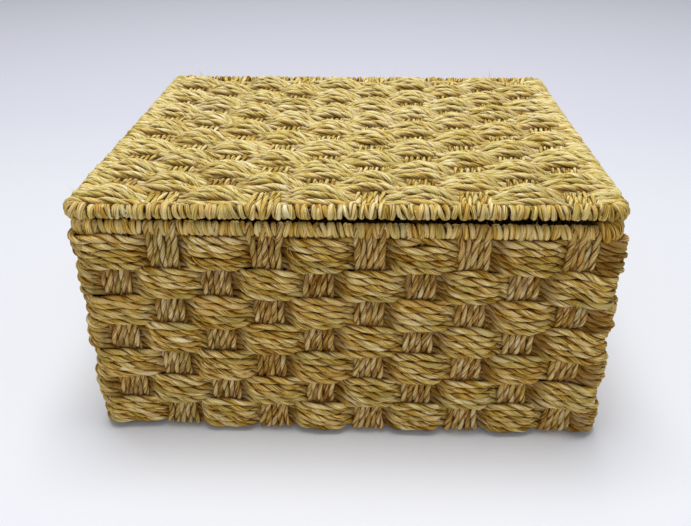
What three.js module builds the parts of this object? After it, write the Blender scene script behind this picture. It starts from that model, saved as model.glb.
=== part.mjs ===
// Woven box with a woven lid, in millimetres, +Z up, front towards -Y.
// The walls and the base are one plain weave of flat cord bundles.
// The lid is a woven panel on its own wire and turns about its rear wire.
import * as THREE from 'three';

// Overall sizes
const LID_WIDTH = 340;
const LID_DEPTH = 300;
const TOTAL_HEIGHT = 171;
const LID_OVERHANG = 1.5;

// Cord, wire and play
const CORD = 4.0;
const WIRE = 2.6;
const CLEARANCE = 0.3;

// Weave of the box
const WALL_ROW_COUNT = 7;
const ROW_GAP = 0.4;
const STAKE_WIDTH = 19.5;
const FRONT_STAKE_COUNT = 10;
const SIDE_STAKE_COUNT = 9;
const CORNER_MARGIN = 0.9;
const FOOT_EASE = 1.2;

// Weave of the lid
const LID_ROW_COUNT = 13;

// Wire corners and hinge lashings
const CORNER_EASE = 4.4;
const STAKE_COUNT_BEFORE_LASH = 2;
const LASH_SIDE_PLAY = 1.2;

// Values that follow from the sizes above
const HALF = CORD / 2;
const OFFSET = CORD + CLEARANCE;
const WIRE_R = WIRE / 2;
const BORE_R = WIRE_R + CLEARANCE;
const BINDING_R = BORE_R + CORD;
const LID_X = LID_WIDTH / 2 - BINDING_R;
const LID_Y = LID_DEPTH / 2 - BINDING_R;
const WALL_X = LID_X - LID_OVERHANG;
const WALL_Y = LID_Y - LID_OVERHANG;
const LID_CORNER_R = BINDING_R + CORNER_EASE;
const RIM_CORNER_R = LID_CORNER_R - LID_OVERHANG;
const CORNER_RUN = RIM_CORNER_R + CORNER_MARGIN;

// Heights
const BASE_LOW = HALF;
const BASE_HIGH = HALF + OFFSET;
const LID_Z = TOTAL_HEIGHT - OFFSET - HALF;
const RIM_Z = LID_Z - 2 * BINDING_R - CLEARANCE;
const FIRST_ROW = CORD + CLEARANCE + FOOT_EASE;
const ROWS_TOP = RIM_Z - BINDING_R - CLEARANCE;
const ROW_PITCH = (ROWS_TOP - FIRST_ROW + ROW_GAP) / WALL_ROW_COUNT;
const ROW_HEIGHT = ROW_PITCH - ROW_GAP;

// Rows of the lid between the front and back bindings
const LID_FIELD = 2 * (LID_Y - BINDING_R - CLEARANCE - LID_OVERHANG);
const LID_ROW_PITCH = LID_FIELD / LID_ROW_COUNT;
const LID_ROW_WIDTH = LID_ROW_PITCH - ROW_GAP;

// Stake centres along the front and along the sides
const LONG_X = stakeCentres(FRONT_STAKE_COUNT, WALL_X);
const CROSS_Y = stakeCentres(SIDE_STAKE_COUNT, WALL_Y);
const LONG_GAP = LONG_X[1] - LONG_X[0] - STAKE_WIDTH;
const CROSS_GAP = CROSS_Y[1] - CROSS_Y[0] - STAKE_WIDTH;
const LASH_WIDTH = LONG_GAP - 2 * LASH_SIDE_PLAY;
const LASH_X = (LONG_X[STAKE_COUNT_BEFORE_LASH - 1] + LONG_X[STAKE_COUNT_BEFORE_LASH]) / 2;

// Colours of dry seagrass and of dull wire
const STAKE_COLOUR = 0x9c8450;
const WEAVER_COLOUR = 0xa68c52;
const LID_COLOUR = 0xbba368;
const BINDING_COLOUR = 0xb09658;
const WIRE_COLOUR = 0x57504a;

function stakeCentres(count, wallHalf) {
  const last = wallHalf - CORNER_RUN - STAKE_WIDTH / 2;
  const centres = [];
  for (let i = 0; i < count; i += 1) {
    centres.push(-last + (2 * last * i) / (count - 1));
  }
  return centres;
}

// How far a bundle runs on past an edge before it slants through a gap.
// The slanting bundle keeps its clearance to the corner it leaves and the one it meets.
function levelRun(gap, rise, half) {
  const reach = half + CLEARANCE;
  const edge = rise / 2 - reach;
  const slope = Math.atan2(edge, gap / 2);
  const angle = slope + Math.asin(Math.min(reach / Math.hypot(gap / 2, edge), 0.99));
  return (gap - rise / Math.tan(angle)) / 2 + CLEARANCE / 3;
}

// Moves every point of a line sideways by a distance, with mitred corners.
function offsetLine(points, distance, closed) {
  const count = points.length;
  const moved = [];
  for (let i = 0; i < count; i += 1) {
    const before = closed || i > 0 ? points[(i + count - 1) % count] : null;
    const after = closed || i < count - 1 ? points[(i + 1) % count] : null;
    const here = points[i];
    const inward = before ? here.clone().sub(before).normalize() : after.clone().sub(here).normalize();
    const onward = after ? after.clone().sub(here).normalize() : inward.clone();
    const normalA = new THREE.Vector2(-inward.y, inward.x);
    const normalB = new THREE.Vector2(-onward.y, onward.x);
    const mitre = normalA.clone().add(normalB).normalize();
    const scale = distance / mitre.dot(normalA);
    moved.push(here.clone().addScaledVector(mitre, scale));
  }
  return moved;
}

// A flat bundle that follows an open line, as an extruded outline.
function openBundle(points, width) {
  const left = offsetLine(points, HALF, false);
  const right = offsetLine(points, -HALF, false);
  const outline = new THREE.Shape(right.concat(left.reverse()));
  const solid = new THREE.ExtrudeGeometry(outline, { depth: width, bevelEnabled: false });
  return solid.translate(0, 0, -width / 2);
}

// A flat bundle that follows a closed line, as an extruded ring.
function closedBundle(points, width) {
  const outline = new THREE.Shape(offsetLine(points, -HALF, true));
  outline.holes.push(new THREE.Path(offsetLine(points, HALF, true)));
  const solid = new THREE.ExtrudeGeometry(outline, { depth: width, bevelEnabled: false });
  return solid.translate(0, 0, -width / 2);
}

// A section carried along a line in plan. Section x points outward, section y points up.
function sweep(section, points, closed) {
  const rings = section.map((corner) => offsetLine(points, -corner.x, closed));
  const sides = section.length;
  const steps = points.length;
  const positions = [];
  for (let step = 0; step < steps; step += 1) {
    for (let side = 0; side < sides; side += 1) {
      const spot = rings[side][step];
      positions.push(spot.x, spot.y, section[side].y);
    }
  }
  const faces = [];
  const lastStep = closed ? steps : steps - 1;
  for (let step = 0; step < lastStep; step += 1) {
    const next = (step + 1) % steps;
    for (let side = 0; side < sides; side += 1) {
      const over = (side + 1) % sides;
      const a = step * sides + side;
      const b = step * sides + over;
      const c = next * sides + over;
      const d = next * sides + side;
      faces.push(a, c, b, a, d, c);
    }
  }
  if (!closed) {
    const end = (steps - 1) * sides;
    for (const [a, b, c] of THREE.ShapeUtils.triangulateShape(section, [])) {
      faces.push(a, b, c);
      faces.push(end + a, end + c, end + b);
    }
  }
  const solid = new THREE.BufferGeometry();
  solid.setAttribute('position', new THREE.Float32BufferAttribute(positions, 3));
  solid.setIndex(faces);
  solid.computeVertexNormals();
  return solid;
}

// A rounded rectangle in plan, counter-clockwise from the middle of the back run.
function roundedRectangle(halfX, halfY, radius) {
  const points = [];
  const corners = [[-1, 1, 1], [-1, -1, 2], [1, -1, 3], [1, 1, 4]];
  for (const [signX, signY, quarter] of corners) {
    for (let step = 0; step <= 4; step += 1) {
      const angle = ((quarter + step / 4) * Math.PI) / 2;
      const x = signX * (halfX - radius) + radius * Math.cos(angle);
      const y = signY * (halfY - radius) + radius * Math.sin(angle);
      points.push(new THREE.Vector2(x, y));
    }
  }
  return points;
}

// Round section of a wire
function wireSection() {
  const section = [];
  for (let i = 0; i < 8; i += 1) {
    const angle = (i * Math.PI) / 4;
    section.push(new THREE.Vector2(WIRE_R * Math.cos(angle), WIRE_R * Math.sin(angle)));
  }
  return section;
}

// Section of a wound binding: a round with a mouth for the stake ends and a bore for the wire.
// The mouth points down when turn is 0 and inward when turn is a quarter turn back.
function bindingSection(turn) {
  const mouth = HALF + CLEARANCE;
  const lip = Math.asin(mouth / BINDING_R);
  const section = [];
  for (let i = 0; i <= 8; i += 1) {
    const angle = -Math.PI / 2 + lip + (i / 8) * (2 * Math.PI - 2 * lip);
    section.push(new THREE.Vector2(BINDING_R * Math.cos(angle), BINDING_R * Math.sin(angle)));
  }
  section.push(new THREE.Vector2(-mouth, -BORE_R));
  section.push(new THREE.Vector2(-BORE_R, -BORE_R));
  section.push(new THREE.Vector2(-BORE_R, BORE_R));
  section.push(new THREE.Vector2(BORE_R, BORE_R));
  section.push(new THREE.Vector2(BORE_R, -BORE_R));
  section.push(new THREE.Vector2(mouth, -BORE_R));
  return section.map((corner) => corner.rotateAround(new THREE.Vector2(0, 0), turn));
}

// Line of a weaver round all four walls. side is 1 or -1 at the first stake of the front.
function wallLine(side) {
  const points = [];
  const corner = HALF;
  const round = RIM_CORNER_R;
  const walls = [
    { centres: LONG_X, gap: LONG_GAP, along: [1, 0], out: [0, -1], plane: WALL_Y, reach: WALL_X },
    { centres: CROSS_Y, gap: CROSS_GAP, along: [0, 1], out: [1, 0], plane: WALL_X, reach: WALL_Y },
    { centres: LONG_X, gap: LONG_GAP, along: [-1, 0], out: [0, 1], plane: WALL_Y, reach: WALL_X },
    { centres: CROSS_Y, gap: CROSS_GAP, along: [0, -1], out: [-1, 0], plane: WALL_X, reach: WALL_Y },
  ];
  let sign = side;
  for (const { centres, gap, along, out, plane, reach } of walls) {
    const place = (u, v) => {
      const x = along[0] * u + out[0] * (plane + v);
      const y = along[1] * u + out[1] * (plane + v);
      points.push(new THREE.Vector2(x, y));
    };
    const run = levelRun(gap, 2 * OFFSET, HALF);
    centres.forEach((centre, i) => {
      const first = i === 0 ? corner : run;
      const last = i === centres.length - 1 ? corner : run;
      place(centre - STAKE_WIDTH / 2 - first, sign * OFFSET);
      place(centre + STAKE_WIDTH / 2 + last, sign * OFFSET);
      sign = -sign;
    });
    for (const degrees of [30, 60]) {
      const angle = THREE.MathUtils.degToRad(degrees);
      const swell = round + CLEARANCE;
      place(reach - round + swell * Math.sin(angle), swell * Math.cos(angle) - round);
    }
  }
  return points;
}

// Line of a stake down one wall, across the base and up the other wall.
// high is true where the stake passes over the first bundle it meets in the base.
function stakeLine(wallHalf, crossings, gap, highAtStart, highAtEnd) {
  const points = [];
  const top = RIM_Z - BORE_R;
  const ease = HALF + FOOT_EASE;
  const foot = (end, high) => {
    const level = high ? BASE_HIGH : BASE_LOW;
    const bend = [0, 30, 60, 90].map((degrees) => {
      const angle = THREE.MathUtils.degToRad(degrees);
      const u = end * (wallHalf - ease + ease * Math.cos(angle));
      return new THREE.Vector2(u, level + ease - ease * Math.sin(angle));
    });
    return [new THREE.Vector2(end * wallHalf, top), ...bend];
  };
  points.push(...foot(-1, highAtStart));
  const run = levelRun(gap, OFFSET, HALF);
  let high = highAtStart;
  crossings.forEach((centre, i) => {
    const level = high ? BASE_HIGH : BASE_LOW;
    if (i > 0) {
      points.push(new THREE.Vector2(centre - STAKE_WIDTH / 2 - run, level));
    }
    if (i < crossings.length - 1) {
      points.push(new THREE.Vector2(centre + STAKE_WIDTH / 2 + run, level));
    }
    high = !high;
  });
  points.push(...foot(1, highAtEnd).reverse());
  return points;
}

// How far a corner arc of the lid lies inside its straight side run at a distance y from the middle.
function cornerInset(radius, y) {
  const past = Math.max(0, y - (LID_Y - LID_CORNER_R));
  return radius - Math.sqrt(radius ** 2 - past ** 2);
}

// Line of a lid weaver from the left wire to the right wire. side is 1 where it starts on top.
function lidLine(side, y) {
  const points = [];
  const edge = Math.abs(y) + LID_ROW_WIDTH / 2;
  const end = LID_X - BORE_R - CLEARANCE - cornerInset(LID_CORNER_R - BORE_R, edge);
  const mouth = LID_X - BINDING_R - CLEARANCE - cornerInset(CORNER_EASE, edge);
  const run = levelRun(LONG_GAP, 2 * OFFSET, HALF);
  points.push(new THREE.Vector2(-end, 0));
  points.push(new THREE.Vector2(-mouth, 0));
  let sign = side;
  for (const centre of LONG_X) {
    points.push(new THREE.Vector2(centre - STAKE_WIDTH / 2 - run, sign * OFFSET));
    points.push(new THREE.Vector2(centre + STAKE_WIDTH / 2 + run, sign * OFFSET));
    sign = -sign;
  }
  points.push(new THREE.Vector2(mouth, 0));
  points.push(new THREE.Vector2(end, 0));
  return points;
}

// The rim and lid bindings: one long run round the front, one short run between the lashings.
function bindingLines(halfX, halfY, radius) {
  const play = LASH_WIDTH / 2 + CLEARANCE;
  const ring = roundedRectangle(halfX, halfY, radius);
  const start = new THREE.Vector2(LASH_X - play, halfY);
  const end = new THREE.Vector2(-LASH_X + play, halfY);
  const middleRight = new THREE.Vector2(-LASH_X - play, halfY);
  const middleLeft = new THREE.Vector2(LASH_X + play, halfY);
  return { front: [start, ...ring, end], back: [middleRight, middleLeft] };
}

// A closed cord loop round the rim wire and the lid wire at the back.
function lashing() {
  const rise = LID_Z - RIM_Z;
  const length = Math.hypot(rise, LID_OVERHANG);
  const loop = new THREE.Shape();
  loop.absarc(0, length, BINDING_R, 0, Math.PI, false);
  loop.absarc(0, 0, BINDING_R, Math.PI, 2 * Math.PI, false);
  const hole = new THREE.Path();
  hole.absarc(0, length, BORE_R, 0, Math.PI, false);
  hole.absarc(0, 0, BORE_R, Math.PI, 2 * Math.PI, false);
  loop.holes.push(hole);
  const solid = new THREE.ExtrudeGeometry(loop, {
    depth: LASH_WIDTH,
    bevelEnabled: false,
    curveSegments: 6,
  });
  solid.translate(0, 0, -LASH_WIDTH / 2);
  solid.rotateZ(-Math.atan2(LID_OVERHANG, rise));
  return solid;
}

const box = new THREE.Group();
box.name = 'woven_lidded_box';

function add(name, geometry, colour, roughness, metalness) {
  const material = new THREE.MeshStandardMaterial({ color: colour, roughness, metalness });
  const mesh = new THREE.Mesh(geometry, material);
  mesh.name = name;
  box.add(mesh);
}

// Turns a solid drawn in plan so that its plan x and y become world Y and Z.
const UPRIGHT_ALONG_Y = new THREE.Matrix4().makeBasis(
  new THREE.Vector3(0, 1, 0),
  new THREE.Vector3(0, 0, 1),
  new THREE.Vector3(1, 0, 0),
);

// Turns a solid drawn in plan so that its plan x and y become world X and Z.
const UPRIGHT_ALONG_X = new THREE.Matrix4().makeBasis(
  new THREE.Vector3(1, 0, 0),
  new THREE.Vector3(0, 0, 1),
  new THREE.Vector3(0, -1, 0),
);

// Rim
const rimRing = roundedRectangle(WALL_X, WALL_Y, RIM_CORNER_R);
add('rim_wire', sweep(wireSection(), rimRing, true).translate(0, 0, RIM_Z), WIRE_COLOUR, 0.5, 0.8);
const rimLines = bindingLines(WALL_X, WALL_Y, RIM_CORNER_R);
for (const place of ['front', 'back']) {
  const solid = sweep(bindingSection(0), rimLines[place], false).translate(0, 0, RIM_Z);
  add(`rim_binding_${place}`, solid, BINDING_COLOUR, 0.85, 0);
}

// Stakes of the box
LONG_X.forEach((x, i) => {
  const high = i % 2 === 0;
  const endHigh = (i + SIDE_STAKE_COUNT - 1) % 2 === 0;
  const solid = openBundle(stakeLine(WALL_Y, CROSS_Y, CROSS_GAP, high, endHigh), STAKE_WIDTH);
  solid.applyMatrix4(UPRIGHT_ALONG_Y).translate(x, 0, 0);
  add(`long_stake_${i + 1}`, solid, STAKE_COLOUR, 0.9, 0);
});
CROSS_Y.forEach((y, i) => {
  const high = i % 2 === 1;
  const endHigh = (i + FRONT_STAKE_COUNT - 1) % 2 === 1;
  const solid = openBundle(stakeLine(WALL_X, LONG_X, LONG_GAP, high, endHigh), STAKE_WIDTH);
  solid.applyMatrix4(UPRIGHT_ALONG_X).translate(0, y, 0);
  add(`cross_stake_${i + 1}`, solid, STAKE_COLOUR, 0.9, 0);
});

// Weavers of the walls, from the bottom row up
for (let row = 0; row < WALL_ROW_COUNT; row += 1) {
  const side = row % 2 === 0 ? 1 : -1;
  const middle = FIRST_ROW + row * ROW_PITCH + ROW_HEIGHT / 2;
  const solid = closedBundle(wallLine(side), ROW_HEIGHT).translate(0, 0, middle);
  add(`wall_weaver_${row + 1}`, solid, WEAVER_COLOUR, 0.85, 0);
}

// Hinge lashings at the back
for (const [name, x] of [['left', LASH_X], ['right', -LASH_X]]) {
  const solid = lashing().applyMatrix4(UPRIGHT_ALONG_Y).translate(x, WALL_Y, RIM_Z);
  add(`hinge_lashing_${name}`, solid, BINDING_COLOUR, 0.85, 0);
}

// Lid edge
const lidRing = roundedRectangle(LID_X, LID_Y, LID_CORNER_R);
add('lid_wire', sweep(wireSection(), lidRing, true).translate(0, 0, LID_Z), WIRE_COLOUR, 0.5, 0.8);
const lidLines = bindingLines(LID_X, LID_Y, LID_CORNER_R);
for (const place of ['front', 'back']) {
  const solid = sweep(bindingSection(-Math.PI / 2), lidLines[place], false).translate(0, 0, LID_Z);
  add(`lid_binding_${place}`, solid, BINDING_COLOUR, 0.85, 0);
}

// Stakes of the lid
LONG_X.forEach((x, i) => {
  const solid = new THREE.BoxGeometry(STAKE_WIDTH, 2 * (LID_Y - BORE_R), CORD);
  add(`lid_stake_${i + 1}`, solid.translate(x, 0, LID_Z), STAKE_COLOUR, 0.9, 0);
});

// Weavers of the lid, from the front row to the back
for (let row = 0; row < LID_ROW_COUNT; row += 1) {
  const side = row % 2 === 0 ? 1 : -1;
  const y = -LID_FIELD / 2 + (row + 0.5) * LID_ROW_PITCH;
  const solid = openBundle(lidLine(side, y), LID_ROW_WIDTH);
  solid.applyMatrix4(UPRIGHT_ALONG_X).translate(0, y, LID_Z);
  add(`lid_weaver_${row + 1}`, solid, LID_COLOUR, 0.85, 0);
}

export default box;
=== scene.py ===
"""Woven seagrass box with a lashed lid, laid cord by cord over its CAD frame."""

import math
import zlib
from collections import namedtuple

import bpy
import numpy as np
from bpy.props import FloatProperty, FloatVectorProperty, IntProperty, PointerProperty
from mathutils import Matrix, Vector


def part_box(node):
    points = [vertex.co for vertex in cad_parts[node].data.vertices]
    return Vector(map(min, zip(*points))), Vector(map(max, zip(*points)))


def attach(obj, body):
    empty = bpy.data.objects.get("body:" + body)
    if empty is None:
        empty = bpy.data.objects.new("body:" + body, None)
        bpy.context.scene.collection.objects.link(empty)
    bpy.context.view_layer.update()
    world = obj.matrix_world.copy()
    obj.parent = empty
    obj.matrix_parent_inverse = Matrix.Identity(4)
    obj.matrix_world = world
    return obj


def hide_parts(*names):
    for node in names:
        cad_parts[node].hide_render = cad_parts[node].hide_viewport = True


bl_info = {
    "name": "Woven Seagrass Box",
    "version": (1, 0, 0),
    "blender": (4, 5, 0),
    "location": "View3D > Sidebar > Woven Box",
    "description": "Lays twisted seagrass cords over the frame of a lidded box",
    "category": "Object",
}

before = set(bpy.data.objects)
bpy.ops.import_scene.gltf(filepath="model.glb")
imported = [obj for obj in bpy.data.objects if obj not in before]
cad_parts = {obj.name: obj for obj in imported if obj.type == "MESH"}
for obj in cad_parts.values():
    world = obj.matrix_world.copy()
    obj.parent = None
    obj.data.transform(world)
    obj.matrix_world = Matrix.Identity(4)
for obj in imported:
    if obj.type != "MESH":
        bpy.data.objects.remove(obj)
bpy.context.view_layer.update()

MM = 0.001
X, Y, Z = range(3)
ALONG_X, ALONG_Y, UP = np.eye(3)


# Sizes and places read off the frame


def middle(node, axis):
    """Middle of a CAD node along one axis."""
    low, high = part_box(node)
    return (low[axis] + high[axis]) / 2


def numbered(stem):
    """Names of the CAD nodes of one kind, in the order of their numbers."""
    names = [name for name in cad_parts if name.startswith(stem)]
    return sorted(names, key=lambda name: int(name[len(stem):]))


LONG_STAKES = numbered("long_stake_")
CROSS_STAKES = numbered("cross_stake_")
WALL_WEAVERS = numbered("wall_weaver_")
LID_STAKES = numbered("lid_stake_")
LID_WEAVERS = numbered("lid_weaver_")
LASHINGS = ("hinge_lashing_left", "hinge_lashing_right")

LONG_X = np.array([middle(name, X) for name in LONG_STAKES])
CROSS_Y = np.array([middle(name, Y) for name in CROSS_STAKES])
ROW_Z = np.array([middle(name, Z) for name in WALL_WEAVERS])
LID_ROW_Y = np.array([middle(name, Y) for name in LID_WEAVERS])
LID_ROW_PITCH = LID_ROW_Y[1] - LID_ROW_Y[0]
LASHING_X = [middle(name, X) for name in LASHINGS]

RIM_LOW, RIM_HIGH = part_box("rim_wire")
LID_LOW, LID_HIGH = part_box("lid_wire")
WIRE_RADIUS = (RIM_HIGH.z - RIM_LOW.z) / 2
RIM_Z = (RIM_LOW.z + RIM_HIGH.z) / 2
LID_Z = (LID_LOW.z + LID_HIGH.z) / 2
RIM_X, RIM_Y = RIM_HIGH.x - WIRE_RADIUS, RIM_HIGH.y - WIRE_RADIUS
LID_X, LID_Y = LID_HIGH.x - WIRE_RADIUS, LID_HIGH.y - WIRE_RADIUS
RIM_CORNER = 8.5 * MM
LID_CORNER = 7 * MM
WALL_CORNER = 5 * MM


# What a user would change


def length_property(name, description, millimetres):
    """A length that the panel can change."""
    return FloatProperty(name=name, description=description, default=millimetres * MM, unit="LENGTH")


def share_property(name, description, share):
    """A share that the panel can change."""
    return FloatProperty(name=name, description=description, default=share, subtype="FACTOR")


def colour_property(name, description, colour):
    """A colour that the panel can change."""
    return FloatVectorProperty(
        name=name, description=description, default=colour, subtype="COLOR", size=3, min=0, max=1
    )


class WovenBoxWeave(bpy.types.PropertyGroup):
    """How the cords lie."""

    cord_radius: length_property("Cord radius", "From a twisted cord's middle to the top of a ply", 2.95)
    stake_radius: length_property("Stake cord radius", "From a stake cord's middle to the top of a ply", 2.4)
    row_cords: IntProperty(name="Cords in a row", description="Cords side by side in a row", default=5)
    stake_cords: IntProperty(name="Cords in a stake", description="Cords side by side in a stake", default=5)
    twist_length: length_property("Twist length", "Cord in which two plies turn once round each other", 25)
    float_spacing: length_property("Float spacing", "Between cords where a row lies over a stake", 4.5)
    lid_spacing: length_property("Lid float spacing", "Between cords where a lid row lies over a stake", 5.4)
    pinch_spacing: length_property("Pinch spacing", "Between cords where a row dives between stakes", 4.06)
    stake_spacing: length_property("Stake spacing", "Between the cords of a stake of the walls", 3.75)
    lid_stake_spacing: length_property("Lid stake spacing", "Between the cords of a lid stake", 3.8)
    base_spacing: length_property("Base spacing", "Between the cords of a stake on the base", 4.6)
    float_depth: length_property("Float depth", "How far a wall row swings out over a stake", 4.3)
    float_dome: length_property("Float dome", "How far a float's outer cords lie behind its middle", 1.3)
    lid_depth: length_property("Lid float depth", "How far a lid row swings up over a stake", 6.0)
    lid_dome: length_property("Lid float dome", "How far a lid float's outer cords lie below its middle", 2.7)
    under_depth: length_property("Under depth", "How far a row swings in where it passes behind a stake", 3.4)
    stake_give: length_property("Stake give", "How far a wall stake swings against the rows", 1.8)
    lid_give: length_property("Lid stake give", "How far a lid stake swings against the rows", 0.9)
    wrap_radius: length_property("Wrap radius", "Half the width of the cord wound round a wire", 1.85)
    wrap_flatness: share_property("Wrap flatness", "Thickness of the wound cord by its width", 1.0)
    wrap_spacing: length_property("Wrap spacing", "Between the turns of cord round a wire", 3.4)
    unevenness: length_property("Unevenness", "How far a cord drifts from its place", 0.33)
    row_drop: length_property("Row drop", "How far the rows of the walls have settled", 2.2)
    lid_lean: length_property("Lid lean", "Dip of the lid's front on the left, and rise on the right", 1.7)
    lid_flare: length_property("Lid flare", "How far the lid's left front corner is pulled out", 2.0)
    rim_drop: length_property("Rim drop", "How far the rim's winding has settled on the walls", 0.6)
    rim_sag: length_property("Rim sag", "Depth of the sag in the front of the rim", 0.6)
    front_bow: length_property("Front bow", "How far the foot of the front wall bows out", 3.5)
    hairs_per_metre: FloatProperty(
        name="Hairs per metre", description="Places with loose fibres on each metre of cord", default=13.0
    )
    tuft_share: share_property("Tuft share", "Share of places with loose fibres that are tufts", 0.14)


class WovenBoxFinish(bpy.types.PropertyGroup):
    """Colours of the dried grass."""

    # Dark is the colour of weathered fibre and specks, and also what the painted shade in grooves, on flanks
    # and at dives mixes towards
    dark: colour_property("Dark", "Shaded and weathered fibre", (0.135, 0.036, 0.0))
    straw: colour_property("Straw", "Most of the fibre", (0.64, 0.416, 0.064))
    pale: colour_property("Pale", "Bleached fibre", (0.88, 0.755, 0.43))
    ruddy: colour_property("Ruddy", "Orange-brown fibre", (0.52, 0.245, 0.035))
    leaf: colour_property("Leaf", "Fibre that dried green", (0.33, 0.285, 0.080))
    wire: colour_property("Wire", "Dull brown wire under the winding", (0.06, 0.03, 0.012))


class WovenBoxStage(bpy.types.PropertyGroup):
    """Camera and floor."""

    camera_place: FloatVectorProperty(
        name="Camera place",
        description="Where the camera stands",
        default=(0.0190, -0.5574, 0.3548),
        subtype="TRANSLATION",
        size=3,
    )
    camera_turn: FloatVectorProperty(
        name="Camera turn",
        description="Turn to the right, tilt down and roll of the camera",
        default=(math.radians(-2.477), math.radians(28.515), math.radians(-0.3)),
        subtype="EULER",
        size=3,
    )
    focal_pixels: FloatProperty(
        name="Focal length", description="In pixels of a frame 691 wide", default=762.3
    )
    floor: colour_property("Floor", "Pale floor", (0.71, 0.725, 0.77))
    floor_far: colour_property("Floor far", "Floor beyond the box", (0.66, 0.665, 0.745))


# Fineness along a cord

STEP = 1.9 * MM
FEWEST_STEPS = 4

# Section of a cord: two plies, as shares of the cord's radius

PLY_REACH = 0.25
PLY_RADIUS = 0.75
GROOVE = 0.2
PLY_ANGLES = ((-90, -66, -36, -12, 12, 36, 66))
SECTION = np.radians([angle + turn for turn in (0, 180) for angle in PLY_ANGLES])
SIDES = len(SECTION)
PLY_ASIDE = PLY_REACH * np.sin(SECTION)
SECTION_REACH = PLY_REACH * np.abs(np.cos(SECTION)) + np.sqrt(PLY_RADIUS**2 - PLY_ASIDE**2)
SECTION_REACH[:: len(PLY_ANGLES)] -= GROOVE
FIRST_PLY = np.arange(SIDES) < SIDES // 2

# Painted shade in the grooves between plies and on the flanks between cords

CREASE_POWER = 2.5
CREASE = ((1 - SECTION_REACH) / (1 - SECTION_REACH.min())) ** CREASE_POWER
# The middle of a cut end gets half the crease value, so it is mixed part way towards Dark
CAP_CREASE = 0.5
FLANK_SHADE = 0.9
FLANK_REACH = 0.42
WRAP_FLANK_REACH = 0.65

# Painted shade where a cord dives under another: how proud it lies where that starts, and how dark it gets

Dive = namedtuple("Dive", "start shade")
ROW_DIVE = Dive(0.3, 0.62)
LID_DIVE = Dive(0.15, 0.25)
STAKE_DIVE = Dive(0.7, 0.6)
LID_STAKE_DIVE = Dive(0.65, 0.6)

# What makes a cord: proud is how far it lies to the front along its path, which sets its painted dive shade;
# mottle how its tones vary

Cord = namedtuple(
    "Cord",
    "path side closed radius shade twist flat plied proud dive mottle",
    defaults=(1.0, 1.0, True, None, ROW_DIVE, 1.0),
)
CordRings = namedtuple("CordRings", "places path points fibre shade hue crease")

# Unevenness along a cord: wave lengths in metres, and how much

Drift = namedtuple("Drift", "waves amount")
GIRTH = Drift((0.09, 0.031), 0.06)
TWIST = Drift((0.16, 0.06), 0.5)
RIDGES = Drift((0.05, 0.019), 0.052)
SHADE = Drift((0.21, 0.083, 0.027), 0.1)
HUE = Drift((0.17, 0.07, 0.023), 0.2)
WANDER_WAVES = (0.12, 0.053, 0.027)
WANDER_ACROSS = 0.7
TWIST_SPREAD = (0.88, 1.16)
THIN_PLY = (0.86, 1.0)
SHADE_SPREAD = 0.08
PLY_SHADE_SPREAD = 0.07
HUE_MIDDLE = 0.5
HUE_SPREAD = 0.13
PLY_HUE_SPREAD = 0.15
FIBRE_START = 20

# Loose fibres

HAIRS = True
HAIR_SIDES = 3
HAIR_POINTS = 5
HAIR_LOW = 0.3 * MM
HAIR_SEAT = 0.3 * MM
HAIR_REACH = (3 * MM, 11 * MM)
HAIR_RADIUS = (0.1 * MM, 0.19 * MM)
HAIR_TAPER = 0.85
HAIR_LIFT = (0.25, 1.0)
HAIR_STRAY = 0.25
HAIR_BEND = 0.5
HAIR_DROOP = 0.3
HAIR_CURL = 0.6
HAIR_SHADE = (0.45, 0.95)
HAIR_HUE = (0.3, 0.7)
OFF_AXIS = (0.01, 0.02, 0.03)
TUFT_HAIRS = (4, 9)
TUFT_THICKER = 1.7

# Map of a piece: the girth of a usual cord, and shares of a cell left clear

CORD_GIRTH = 2 * math.pi * 1.68 * MM
STRIP_SLACK = 0.01
STRIP_MARGIN = 0.06
HAIR_MARGIN = 0.1
CAP_REACH = 0.4


def unit(vectors):
    """The same directions with length one."""
    return vectors / np.linalg.norm(vectors, axis=-1, keepdims=True)


def smooth(value):
    """0 below 0, 1 above 1 and an easy curve between."""
    value = np.clip(value, 0, 1)
    return value * value * (3 - 2 * value)


def lengths_along(path):
    """Length of a path up to each of its points."""
    steps = np.linalg.norm(np.diff(path, axis=0), axis=1)
    return np.concatenate(([0.0], np.cumsum(steps)))


def evenly(path, closed):
    """The path with its points a step apart; a closed one doesn't repeat its first point."""
    if closed:
        path = np.vstack((path, path[:1]))
    s = lengths_along(path)
    count = max(int(round(s[-1] / STEP)), FEWEST_STEPS)
    places = np.linspace(0, s[-1], count + (not closed), endpoint=not closed)
    return places, np.column_stack([np.interp(places, s, part) for part in path.T]), s[-1]


def drifter(rng, places, length):
    """Gives slow random wanders along a cord, which close on themselves over its length."""

    def drift(waves, amount):
        total = np.zeros_like(places)
        for wave in waves:
            turns = max(round(length / wave), 1)
            total += np.sin(2 * math.pi * turns * places / length + rng.uniform(0, 2 * math.pi))
        return amount * total / math.sqrt(len(waves))

    return drift


def twisted(cord, rng, weave, places, length, drift):
    """How far the section of a cord has turned at each place."""
    turns = length / (weave.twist_length * cord.twist * rng.uniform(*TWIST_SPREAD))
    if cord.closed:
        turns = round(turns)
    return 2 * math.pi * turns * places / length + rng.uniform(0, 2 * math.pi) + drift(*TWIST)


def ridged_section(cord, rng, drift):
    """The section of a cord at each place, with ridges of fibre and one ply thinner."""
    fatness = np.where(FIRST_PLY, *rng.permutation((1, rng.uniform(*THIN_PLY))))
    ridges = np.stack([drift(*RIDGES) for _ in range(SIDES)], axis=1)
    reach = (SECTION_REACH * fatness if cord.plied else 1) * (1 + ridges)
    return reach * np.cos(SECTION), reach * np.sin(SECTION)


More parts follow.
